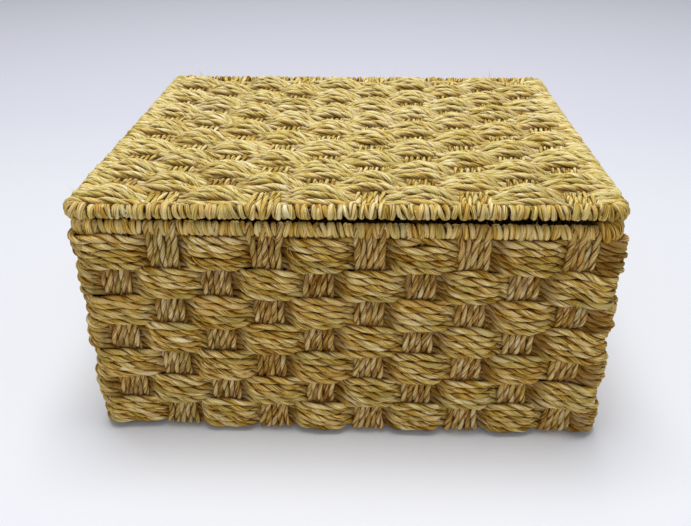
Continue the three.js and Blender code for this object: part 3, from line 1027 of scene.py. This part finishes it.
Noise = namedtuple("Noise", "along across detail low high")
STREAK = Noise(120, 2600, 3, 0.36, 0.64)
BAND = Noise(42, 900, 2, 0.3, 0.7)
SPECK = Noise(330, 1300, 1, 0.68, 0.78)
STREAK_TONE = 0.42
BAND_TONE = 0.36
BAND_HUE = 0.15
DARKEST, STRAW, PALEST = -0.1, 0.5, 1.0
RUDDY_HUE = (0.6, 1.0)
LEAF_HUE = (0.4, 0.0)
MOST_RUDDY = 0.42
MOST_LEAF = 0.45
MOST_SPECK = 0.55
STREAK_HEIGHT = 0.6
BAND_HEIGHT = 0.7
CORD_ROUGHNESS = (0.72, 0.48)
WIRE_ROUGHNESS = (0.35, 0.55)
NOISE_MIDDLE = (0.3, 0.7)
CORD_GLOSS = 0.02
WIRE_GLOSS = 0.1
BUMP_STRENGTH = 0.9
BUMP_DEPTH = 0.45 * MM
WIRE_NOISE_SCALE = 220
WIRE_TONES = (0.7, 1.4)

# Each kind of piece: its body, its slot, how dark its painted crease shade gets, and by how much the colours
# differ

Kind = namedtuple("Kind", "body slot crease dark straw pale ruddy leaf")
COLOURS = Kind._fields[3:]
KINDS = {
    "stakes": Kind(
        "box", "seagrass_stakes", 0.95, 1.0, (0.96, 0.94, 1.4), (0.93, 0.92, 1.02), (1.0, 1.15, 1.5), 1.0
    ),
    "wall": Kind(
        "box", "seagrass_wall", 1.0, 1.0, (1.04, 1.04, 1.05), (1.04, 1.04, 1.1), (1.0, 1.1, 1.3), 1.08
    ),
    "binding": Kind("box", "seagrass_binding", 1.0, 0.9, (1.0, 0.94, 0.72), (0.95, 0.9, 0.8), 1.0, 0.95),
    # The lid's kinds are paler than the box's: partly the grass's own tone, partly painted light on the lid's
    # top
    "lid_stakes": Kind(
        "lid", "seagrass_stakes", 0.95, 1.0, (0.98, 1.1, 1.35), (0.98, 0.99, 1.02), (1.15, 1.45, 1.9), 1.2
    ),
    "lid": Kind(
        "lid", "seagrass_lid", 0.95, 1.0, (1.06, 1.29, 2.05), (0.96, 1.01, 1.22), (1.25, 1.65, 2.3), 1.42
    ),
    "lid_binding": Kind(
        "lid", "seagrass_binding", 1.0, 0.9, (0.86, 0.95, 1.2), (0.93, 0.98, 1.12), 0.97, 1.1
    ),
}


def add_node(tree, kind, **settings):
    """A shader node with its settings."""
    node = tree.nodes.new(kind)
    for name, value in settings.items():
        setattr(node, name, value)
    return node


def new_material(name):
    """A material with nodes, its node tree and its shader."""
    material = bpy.data.materials.new(name)
    material.use_nodes = True
    return material, material.node_tree, material.node_tree.nodes["Principled BSDF"]


def feed(tree, value, socket):
    """Links an output socket to an input socket, or sets a plain value on it."""
    if isinstance(value, bpy.types.NodeSocket):
        tree.links.new(value, socket)
    else:
        socket.default_value = value


def ranged(tree, source, low, high, to_low=0.0, to_high=1.0, easy=True):
    """A value carried from one range to another."""
    node = add_node(tree, "ShaderNodeMapRange", interpolation_type="SMOOTHSTEP" if easy else "LINEAR")
    titles = ("Value", "From Min", "From Max", "To Min", "To Max")
    for title, value in zip(titles, (source, low, high, to_low, to_high)):
        feed(tree, value, node.inputs[title])
    return node.outputs["Result"]


def maths(tree, operation, first, second):
    """One sum of two values, each a socket or a number."""
    node = add_node(tree, "ShaderNodeMath", operation=operation)
    for value, socket in zip((first, second), node.inputs):
        feed(tree, value, socket)
    return node.outputs[0]


def mixed_colour(tree, share, first, second):
    """Two colours mixed by a share."""
    node = add_node(tree, "ShaderNodeMix", data_type="RGBA")
    sockets = {socket.identifier: socket for socket in (*node.inputs, *node.outputs)}
    for title, value in (("Factor_Float", share), ("A_Color", first), ("B_Color", second)):
        feed(tree, value, sockets[title])
    return sockets["Result_Color"]


def fibre_noise(tree, vector, noise):
    """Noise stretched along the fibres."""
    stretch = add_node(tree, "ShaderNodeVectorMath", operation="MULTIPLY")
    feed(tree, vector, stretch.inputs[0])
    feed(tree, (noise.along, noise.across, noise.across), stretch.inputs[1])
    node = add_node(tree, "ShaderNodeTexNoise")
    feed(tree, 1.0, node.inputs["Scale"])
    feed(tree, noise.detail, node.inputs["Detail"])
    feed(tree, stretch.outputs[0], node.inputs["Vector"])
    return node.outputs["Fac"]


def seagrass_group():
    """Node group: colour, roughness and height of dried grass twisted into cord."""
    group = bpy.data.node_groups.get("Twisted Seagrass")
    if group:
        return group
    group = bpy.data.node_groups.new("Twisted Seagrass", "ShaderNodeTree")
    inputs = [(colour.title(), "INPUT", "NodeSocketColor") for colour in COLOURS]
    inputs.append(("Crease", "INPUT", "NodeSocketFloat"))
    outputs = [("Color", "OUTPUT", "NodeSocketColor")]
    outputs += [(name, "OUTPUT", "NodeSocketFloat") for name in ("Roughness", "Height")]
    for name, in_out, kind in (*inputs, *outputs):
        group.interface.new_socket(name=name, in_out=in_out, socket_type=kind)
    given = add_node(group, "NodeGroupInput").outputs
    result = add_node(group, "NodeGroupOutput").inputs
    read = {}
    for name in ("shade", "hue", "crease", "fibre"):
        node = add_node(group, "ShaderNodeAttribute", attribute_name=name)
        read[name] = node.outputs["Vector" if name == "fibre" else "Fac"]
    streak, band, speck = (fibre_noise(group, read["fibre"], noise) for noise in (STREAK, BAND, SPECK))
    streaks = ranged(group, streak, STREAK.low, STREAK.high, -STREAK_TONE, STREAK_TONE, False)
    bands = ranged(group, band, BAND.low, BAND.high, -BAND_TONE, BAND_TONE, False)
    tone = maths(group, "ADD", maths(group, "ADD", read["shade"], streaks), bands)
    lighter = ranged(group, tone, DARKEST, STRAW, easy=False)
    colour = mixed_colour(group, lighter, given["Dark"], given["Straw"])
    colour = mixed_colour(group, ranged(group, tone, STRAW, PALEST, easy=False), colour, given["Pale"])
    warmer = ranged(group, band, BAND.low, BAND.high, -BAND_HUE, BAND_HUE)
    ruddy = ranged(group, maths(group, "ADD", read["hue"], warmer), *RUDDY_HUE)
    leaf = ranged(group, read["hue"], *LEAF_HUE)
    spots = ranged(group, speck, SPECK.low, SPECK.high)
    # Ruddy, leaf and specks are the grass's own colour; the crease mix is painted shade in grooves, on flanks
    # and at dives
    for share, most, name in (
        (ruddy, MOST_RUDDY, "Ruddy"),
        (leaf, MOST_LEAF, "Leaf"),
        (spots, MOST_SPECK, "Dark"),
        (read["crease"], given["Crease"], "Dark"),
    ):
        colour = mixed_colour(group, maths(group, "MULTIPLY", share, most), colour, given[name])
    feed(group, colour, result["Color"])
    feed(group, ranged(group, streak, *NOISE_MIDDLE, *CORD_ROUGHNESS), result["Roughness"])
    ridges = maths(group, "MULTIPLY", streak, STREAK_HEIGHT)
    height = maths(group, "ADD", ridges, maths(group, "MULTIPLY", band, BAND_HEIGHT))
    feed(group, height, result["Height"])
    return group


def seagrass(kind, finish):
    """Material of the cords of one kind of piece."""
    title = "seagrass_cord_" + kind
    if title in bpy.data.materials:
        return bpy.data.materials[title]
    material, tree, shader = new_material(title)
    shader.inputs["Specular IOR Level"].default_value = CORD_GLOSS
    group = add_node(tree, "ShaderNodeGroup", node_tree=seagrass_group())
    group.inputs["Crease"].default_value = KINDS[kind].crease
    for name in COLOURS:
        colour = np.minimum(np.array(getattr(finish, name)) * getattr(KINDS[kind], name), 1)
        group.inputs[name.title()].default_value = (*colour, 1)
    bump = add_node(tree, "ShaderNodeBump")
    bump.inputs["Strength"].default_value = BUMP_STRENGTH
    bump.inputs["Distance"].default_value = BUMP_DEPTH
    feed(tree, group.outputs["Color"], shader.inputs["Base Color"])
    feed(tree, group.outputs["Roughness"], shader.inputs["Roughness"])
    feed(tree, group.outputs["Height"], bump.inputs["Height"])
    feed(tree, bump.outputs["Normal"], shader.inputs["Normal"])
    return material


def wire_paint(finish):
    """Dark paint with a little unevenness for the wires inside the windings."""
    material, tree, shader = new_material("frame_wire_paint")
    shader.inputs["Specular IOR Level"].default_value = WIRE_GLOSS
    noise = add_node(tree, "ShaderNodeTexNoise")
    noise.inputs["Scale"].default_value = WIRE_NOISE_SCALE
    feed(tree, add_node(tree, "ShaderNodeTexCoord").outputs["Object"], noise.inputs["Vector"])
    ramp = add_node(tree, "ShaderNodeValToRGB")
    for element, tone in zip(ramp.color_ramp.elements, WIRE_TONES):
        element.color = (*[tone * part for part in finish.wire], 1)
    feed(tree, noise.outputs["Fac"], ramp.inputs["Fac"])
    feed(tree, ramp.outputs["Color"], shader.inputs["Base Color"])
    roughness = ranged(tree, noise.outputs["Fac"], *NOISE_MIDDLE, *WIRE_ROUGHNESS)
    feed(tree, roughness, shader.inputs["Roughness"])
    return material


# Operators, one for each group of like pieces


def seeded(node):
    """A random source of a bundle's own, for how its floats differ."""
    return np.random.default_rng(zlib.crc32(("floats " + node).encode()))


def lay_all(context, kind, bundles):
    """Makes the pieces of one kind, each of which stands for a CAD node, out of their cords."""
    weave = context.scene.woven_box_weave
    material = seagrass(kind, context.scene.woven_box_finish)
    for node, cords in bundles.items():
        rng = np.random.default_rng(zlib.crc32(node.encode()))
        gathered = CordMesh()
        for cord in cords:
            gathered.add_cord(cord, rng, weave)
        piece = gathered.make("cords_of_" + node, material)
        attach(piece, KINDS[kind].body)
        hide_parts(node)
    return {"FINISHED"}


class WOVENBOX_OT_wires(bpy.types.Operator):
    """Paint the rim wire and the lid wire of the frame"""

    bl_idname = "woven_box.wires"
    bl_label = "Wires"
    bl_options = {"REGISTER", "UNDO"}

    def execute(self, context):
        paint = wire_paint(context.scene.woven_box_finish)
        for name in ("rim_wire", "lid_wire"):
            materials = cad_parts[name].data.materials
            materials.clear()
            materials.append(paint)
        return {"FINISHED"}


class WOVENBOX_OT_box_stakes(bpy.types.Operator):
    """Lay the cords of the stakes that run down the walls and across the base"""

    bl_idname = "woven_box.box_stakes"
    bl_label = "Box Stakes"
    bl_options = {"REGISTER", "UNDO"}

    def execute(self, context):
        weave = context.scene.woven_box_weave
        bundles = {}
        for nodes, places, along_x in ((LONG_STAKES, LONG_X, False), (CROSS_STAKES, CROSS_Y, True)):
            for number, node in enumerate(nodes):
                bundles[node] = box_stake(weave, number, places[number], along_x, seeded(node))
        return lay_all(context, "stakes", bundles)


class WOVENBOX_OT_wall_weavers(bpy.types.Operator):
    """Lay the cords of the rows woven round the walls"""

    bl_idname = "woven_box.wall_weavers"
    bl_label = "Wall Weavers"
    bl_options = {"REGISTER", "UNDO"}

    def execute(self, context):
        weave = context.scene.woven_box_weave
        bundles = {node: wall_row(weave, row, seeded(node)) for row, node in enumerate(WALL_WEAVERS)}
        return lay_all(context, "wall", bundles)


class WOVENBOX_OT_rim_binding(bpy.types.Operator):
    """Wind the cord round the rim wire"""

    bl_idname = "woven_box.rim_binding"
    bl_label = "Rim Binding"
    bl_options = {"REGISTER", "UNDO"}

    def execute(self, context):
        weave = context.scene.woven_box_weave
        nodes = (("rim_binding_front", False), ("rim_binding_back", True))
        bundles = {node: rim_windings(weave, back, seeded(node)) for node, back in nodes}
        return lay_all(context, "binding", bundles)


class WOVENBOX_OT_hinge_lashings(bpy.types.Operator):
    """Wind the two lashings that hinge the lid to the rim"""

    bl_idname = "woven_box.hinge_lashings"
    bl_label = "Hinge Lashings"
    bl_options = {"REGISTER", "UNDO"}

    def execute(self, context):
        weave = context.scene.woven_box_weave
        bundles = {node: lashing(weave, place) for node, place in zip(LASHINGS, LASHING_X)}
        return lay_all(context, "binding", bundles)


class WOVENBOX_OT_lid_stakes(bpy.types.Operator):
    """Lay the cords of the lid's stakes"""

    bl_idname = "woven_box.lid_stakes"
    bl_label = "Lid Stakes"
    bl_options = {"REGISTER", "UNDO"}

    def execute(self, context):
        weave = context.scene.woven_box_weave
        bundles = {node: lid_stake(weave, column, seeded(node)) for column, node in enumerate(LID_STAKES)}
        return lay_all(context, "lid_stakes", bundles)


class WOVENBOX_OT_lid_weavers(bpy.types.Operator):
    """Lay the cords of the rows woven across the lid"""

    bl_idname = "woven_box.lid_weavers"
    bl_label = "Lid Weavers"
    bl_options = {"REGISTER", "UNDO"}

    def execute(self, context):
        weave = context.scene.woven_box_weave
        bundles = {node: lid_row(weave, row, seeded(node)) for row, node in enumerate(LID_WEAVERS)}
        return lay_all(context, "lid", bundles)


class WOVENBOX_OT_lid_binding(bpy.types.Operator):
    """Wind the cord round the lid wire"""

    bl_idname = "woven_box.lid_binding"
    bl_label = "Lid Binding"
    bl_options = {"REGISTER", "UNDO"}

    def execute(self, context):
        weave = context.scene.woven_box_weave
        nodes = (("lid_binding_front", False), ("lid_binding_back", True))
        bundles = {node: lid_windings(weave, back, seeded(node)) for node, back in nodes}
        return lay_all(context, "lid_binding", bundles)


# Stage: the photograph in pixels, the sensor in millimetres, other lengths in metres, powers in watts

PHOTO_WIDTH = 691
SENSOR_WIDTH = 36
CLIP = (0.01, 50)
FLOOR_REACH = 6.0
FLOOR_FADE = (0.16, 0.6)
FLOOR_ROUGHNESS = 0.55
SKY_COLOUR = (0.95, 0.97, 1.0, 1)
SKY_STRENGTH = 0.36
Lamp = namedtuple("Lamp", "name place aim size power")
LAMPS = (
    Lamp("overhead", (-0.05, 0.12, 2.4), (0, 0, 0.1), 1.3, 54),
    Lamp("fill", (0.1, -2.2, 1.3), (0, 0, 0.08), 1.6, 11),
)


class WOVENBOX_OT_stage(bpy.types.Operator):
    """Set up the camera, the floor and the lights"""

    bl_idname = "woven_box.stage"
    bl_label = "Stage"
    bl_options = {"REGISTER", "UNDO"}

    def execute(self, context):
        stage = context.scene.woven_box_stage
        self.camera(context.scene, stage)
        self.floor(context.scene, stage)
        self.lights(context.scene)
        return {"FINISHED"}

    def camera(self, scene, stage):
        """A camera that stands where the photograph was taken from."""
        data = bpy.data.cameras.new("view_camera")
        data.sensor_width = SENSOR_WIDTH
        data.lens = stage.focal_pixels / PHOTO_WIDTH * SENSOR_WIDTH
        data.clip_start, data.clip_end = CLIP
        camera = bpy.data.objects.new("view_camera", data)
        yaw, pitch, roll = stage.camera_turn
        ahead = Vector((math.sin(yaw) * math.cos(pitch), math.cos(yaw) * math.cos(pitch), -math.sin(pitch)))
        right = Vector((math.cos(yaw), -math.sin(yaw), 0))
        upward = right.cross(ahead)
        rolled = right * math.cos(roll) + upward * math.sin(roll)
        upward = upward * math.cos(roll) - right * math.sin(roll)
        turn = Matrix((rolled, upward, -ahead)).transposed().to_4x4()
        camera.matrix_world = Matrix.Translation(stage.camera_place) @ turn
        scene.collection.objects.link(camera)
        scene.camera = camera

    def floor(self, scene, stage):
        """A pale floor that turns a little greyer beyond the box."""
        mesh = bpy.data.meshes.new("floor")
        corners = [(x * FLOOR_REACH, y * FLOOR_REACH, 0) for x, y in ((-1, -1), (1, -1), (1, 1), (-1, 1))]
        mesh.from_pydata(corners, [], [(0, 1, 2, 3)])
        material, tree, shader = new_material("pale_floor")
        shader.inputs["Roughness"].default_value = FLOOR_ROUGHNESS
        parts = add_node(tree, "ShaderNodeSeparateXYZ")
        feed(tree, add_node(tree, "ShaderNodeTexCoord").outputs["Object"], parts.inputs[0])
        share = ranged(tree, parts.outputs["Y"], *FLOOR_FADE)
        colour = mixed_colour(tree, share, (*stage.floor, 1), (*stage.floor_far, 1))
        feed(tree, colour, shader.inputs["Base Color"])
        mesh.materials.append(material)
        floor = bpy.data.objects.new("floor", mesh)
        scene.collection.objects.link(floor)

    def lights(self, scene):
        """A wide soft light above, a weak fill in front and a pale sky."""
        scene.world = bpy.data.worlds.new("soft_sky")
        scene.world.use_nodes = True
        sky = scene.world.node_tree.nodes["Background"]
        sky.inputs["Color"].default_value = SKY_COLOUR
        sky.inputs["Strength"].default_value = SKY_STRENGTH
        scene.view_settings.view_transform = "Standard"
        for lamp in LAMPS:
            data = bpy.data.lights.new(lamp.name, "AREA")
            data.size, data.energy = lamp.size, lamp.power
            light = bpy.data.objects.new(lamp.name, data)
            light.location = lamp.place
            light.rotation_mode = "QUATERNION"
            light.rotation_quaternion = (Vector(lamp.aim) - Vector(lamp.place)).to_track_quat("-Z", "Y")
            scene.collection.objects.link(light)


class WOVENBOX_PT_panel(bpy.types.Panel):
    """Sidebar panel with the sizes, the colours and a button for each step"""

    bl_idname = "WOVENBOX_PT_panel"
    bl_label = "Woven Box"
    bl_space_type = "VIEW_3D"
    bl_region_type = "UI"
    bl_category = "Woven Box"

    def draw(self, context):
        for settings in SETTINGS:
            group = getattr(context.scene, settings)
            column = self.layout.column(align=True)
            for name in group.bl_rna.properties.keys():
                if name not in ("rna_type", "name"):
                    column.prop(group, name)
        for step in STEPS:
            self.layout.operator(step.bl_idname)


STEPS = (
    WOVENBOX_OT_wires,
    WOVENBOX_OT_box_stakes,
    WOVENBOX_OT_wall_weavers,
    WOVENBOX_OT_rim_binding,
    WOVENBOX_OT_hinge_lashings,
    WOVENBOX_OT_lid_stakes,
    WOVENBOX_OT_lid_weavers,
    WOVENBOX_OT_lid_binding,
    WOVENBOX_OT_stage,
)
SETTINGS = {
    "woven_box_weave": WovenBoxWeave,
    "woven_box_finish": WovenBoxFinish,
    "woven_box_stage": WovenBoxStage,
}


def register():
    """Adds the settings, the operators and the panel to Blender."""
    for name, settings in SETTINGS.items():
        bpy.utils.register_class(settings)
        setattr(bpy.types.Scene, name, PointerProperty(type=settings))
    for step in (*STEPS, WOVENBOX_PT_panel):
        bpy.utils.register_class(step)


def unregister():
    """Takes them out again."""
    for step in (WOVENBOX_PT_panel, *reversed(STEPS)):
        bpy.utils.unregister_class(step)
    for name, settings in SETTINGS.items():
        delattr(bpy.types.Scene, name)
        bpy.utils.unregister_class(settings)


def main():
    """Builds every piece in order."""
    register()
    for step in STEPS:
        _, _, title = step.bl_idname.partition(".")
        getattr(bpy.ops.woven_box, title)()


if __name__ == "__main__":
    main()
